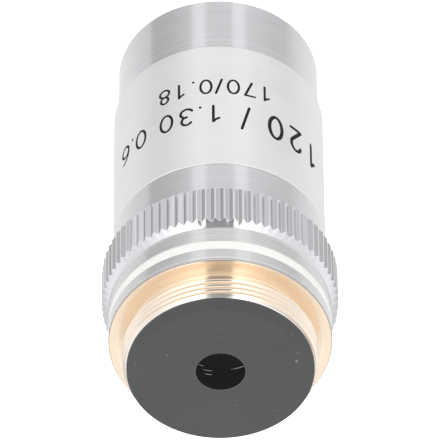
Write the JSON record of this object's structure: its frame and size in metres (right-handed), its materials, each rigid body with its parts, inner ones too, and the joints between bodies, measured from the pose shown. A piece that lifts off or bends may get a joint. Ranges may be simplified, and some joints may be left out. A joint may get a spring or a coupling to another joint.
{
  "type": "microscope objective",
  "caption": "Spring-loaded oil-immersion microscope objective: turned metal barrel with knurled grip, pale colour ring, black rear stop and brass mounting thread.",
  "frame": {"origin": "centre of the flat brass shoulder that seats on the microscope's turret, on the optical axis", "axes": "+Z along the optical axis, out of the mounting thread towards the eyepiece, so the nose hangs down as in use; +X through the guide screw"},
  "size_m": [0.0248, 0.0248, 0.0491],
  "materials": {
    "thread_brass": "bare turned brass, bright, with fine turning lines",
    "tube_brass": "turned brass",
    "turned_chrome": "plated, finely turned, semi-bright",
    "knurled_chrome": "plated straight knurl",
    "polished_chrome": "plated, polished over fine turning lines",
    "satin_chrome": "pearly satin plating",
    "white_enamel": "cream-white enamel, slightly glossy",
    "black_anodised": "matt dark grey anodised, with specks of dust",
    "blackened_brass": "chemically blackened",
    "steel": "turned steel",
    "spring_steel": "drawn spring wire",
    "crown_glass": "polished and coated",
    "flint_glass": "polished and coated"
  },
  "bodies": {
    "body": {"thread_mount": "thread_brass", "rear_stop_disc": "black_anodised", "mount_body": "turned_chrome", "colour_ring": "white_enamel", "knurled_ring": "knurled_chrome", "polished_band": "polished_chrome", "outer_barrel": "satin_chrome", "guide_screw": "steel", "parfocal_shim": "steel", "spring_retainer": "blackened_brass", "retraction_spring": "spring_steel"},
    "nose": {"lens_tube": "tube_brass", "nose_sleeve": "polished_chrome", "front_cap": "polished_chrome", "front_cell": "steel", "front_lens": "crown_glass", "meniscus_cell": "blackened_brass", "meniscus_lens": "crown_glass", "doublet_cell_a": "blackened_brass", "flint_lens_a": "flint_glass", "crown_lens_a": "crown_glass", "spacer_tube": "blackened_brass", "doublet_cell_b": "blackened_brass", "crown_lens_b": "crown_glass", "flint_lens_b": "flint_glass", "rear_baffle": "blackened_brass", "lens_lock_ring": "blackened_brass"}
  },
  "joints": [
    {"name": "nose_retract", "type": "slide", "parent": "body", "child": "nose", "axis": [0, 0, 1], "range_m": [0, 0.002], "stiffness_N_per_m": 300, "springref_m": -0.004, "deforming": ["retraction_spring"]}
  ]
}
